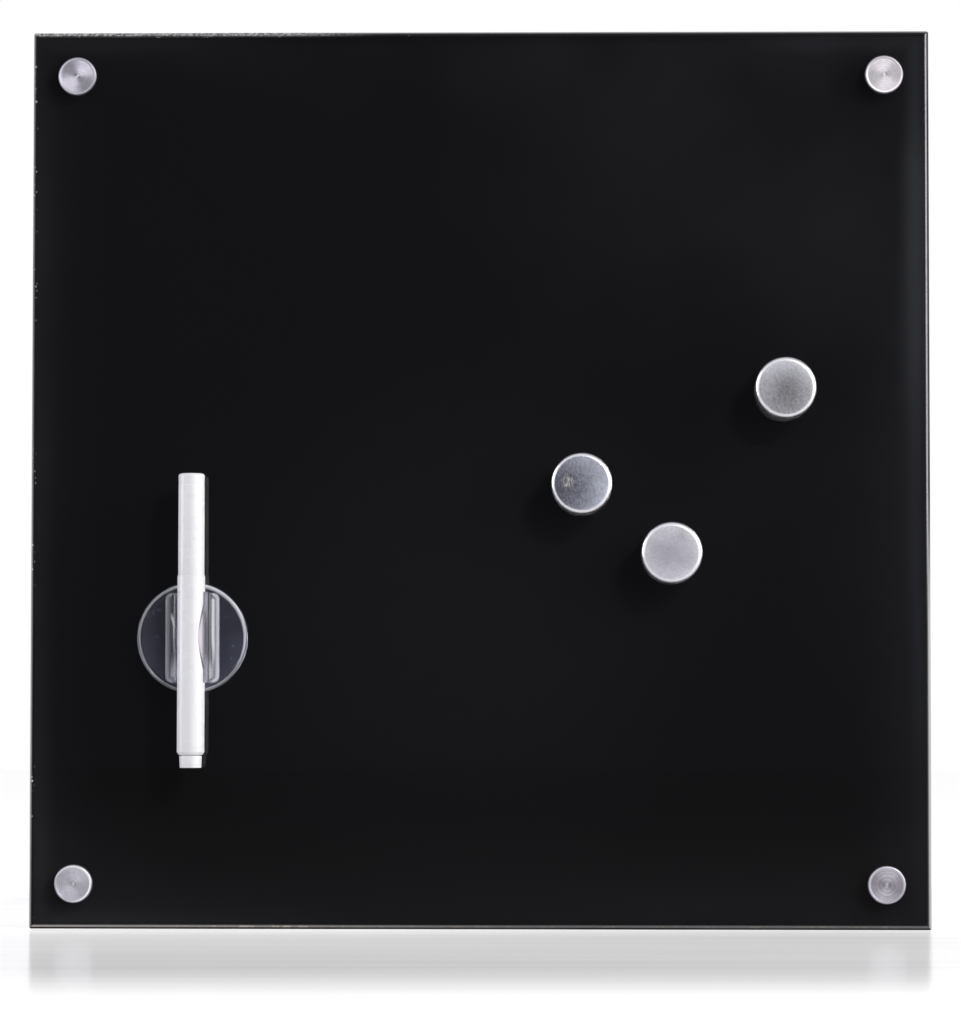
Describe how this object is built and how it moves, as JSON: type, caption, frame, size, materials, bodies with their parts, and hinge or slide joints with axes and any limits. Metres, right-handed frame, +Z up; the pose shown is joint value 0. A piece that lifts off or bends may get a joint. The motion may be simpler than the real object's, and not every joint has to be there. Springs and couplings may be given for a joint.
{
  "type": "glass memo board",
  "caption": "Square glass magnet board held off the wall by round corner fixings, with round magnets on it and a capped marker pen in a clear stick-on clip.",
  "frame": {"origin": "centre of the board on the wall: the plane of the spacers' rear faces, midway between the fixings", "axes": "+Y into the wall, +Z up the board, +X to the viewer's right; the written face looks along -Y"},
  "size_m": [0.4, 0.0646, 0.4],
  "materials": {
    "clear_glass": "polished, with ground and polished edges",
    "black_coat": "black lacquer on the back of the glass",
    "zinc_sheet": "zinc-coated, matt",
    "turned_metal": "turned, satin, with fine tool rings",
    "clear_washer": "clear, soft",
    "white_nylon": "moulded",
    "black_rubber": "moulded",
    "zinc_screw": "zinc-plated",
    "grey_nylon": "moulded",
    "magnet_metal": "turned, satin, with a bright rounded rim",
    "nickel": "nickel-plated",
    "clear_plastic": "clear, glossy, moulded",
    "clear_pad": "clear adhesive foam, with small bubbles",
    "white_plastic": "satin, moulded",
    "black_felt": "inked felt",
    "inked_fibre": "inked fibre"
  },
  "bodies": {
    "board": {"glass_panel": "clear_glass", "back_coat": "black_coat", "steel_sheet": "zinc_sheet", "cap_top_left": "turned_metal", "cap_top_right": "turned_metal", "cap_bottom_left": "turned_metal", "cap_bottom_right": "turned_metal", "front_washer_top_left": "clear_washer", "front_washer_top_right": "clear_washer", "front_washer_bottom_left": "clear_washer", "front_washer_bottom_right": "clear_washer", "hole_bush_top_left": "white_nylon", "hole_bush_top_right": "white_nylon", "hole_bush_bottom_left": "white_nylon", "hole_bush_bottom_right": "white_nylon", "rear_washer_top_left": "black_rubber", "rear_washer_top_right": "black_rubber", "rear_washer_bottom_left": "black_rubber", "rear_washer_bottom_right": "black_rubber", "spacer_top_left": "turned_metal", "spacer_top_right": "turned_metal", "spacer_bottom_left": "turned_metal", "spacer_bottom_right": "turned_metal", "wall_screw_top_left": "zinc_screw", "wall_screw_top_right": "zinc_screw", "wall_screw_bottom_left": "zinc_screw", "wall_screw_bottom_right": "zinc_screw", "wall_plug_top_left": "grey_nylon", "wall_plug_top_right": "grey_nylon", "wall_plug_bottom_left": "grey_nylon", "wall_plug_bottom_right": "grey_nylon", "pen_clip": "clear_plastic", "clip_pad": "clear_pad"},
    "magnet_left": {"magnet_left_shell": "magnet_metal", "magnet_left_core": "nickel"},
    "magnet_middle": {"magnet_middle_shell": "magnet_metal", "magnet_middle_core": "nickel"},
    "magnet_right": {"magnet_right_shell": "magnet_metal", "magnet_right_core": "nickel"},
    "pen": {"pen_barrel": "white_plastic", "pen_end_plug": "white_plastic", "pen_nose": "white_plastic", "pen_nib": "black_felt", "pen_reservoir": "inked_fibre"},
    "pen_cap": {"pen_cap": "white_plastic"}
  },
  "joints": [
    {"name": "magnet_left_lift", "type": "slide", "parent": "board", "child": "magnet_left", "axis": [0, -1, 0], "range_m": [0, 0.03]},
    {"name": "magnet_middle_lift", "type": "slide", "parent": "board", "child": "magnet_middle", "axis": [0, -1, 0], "range_m": [0, 0.03]},
    {"name": "magnet_right_lift", "type": "slide", "parent": "board", "child": "magnet_right", "axis": [0, -1, 0], "range_m": [0, 0.03]},
    {"name": "pen_slide", "type": "slide", "parent": "board", "child": "pen", "axis": [0, 0, 1], "range_m": [-0.07, 0.085]},
    {"name": "pen_cap_pull", "type": "slide", "parent": "pen", "child": "pen_cap", "axis": [0, 0, 1], "range_m": [0, 0.045]}
  ]
}
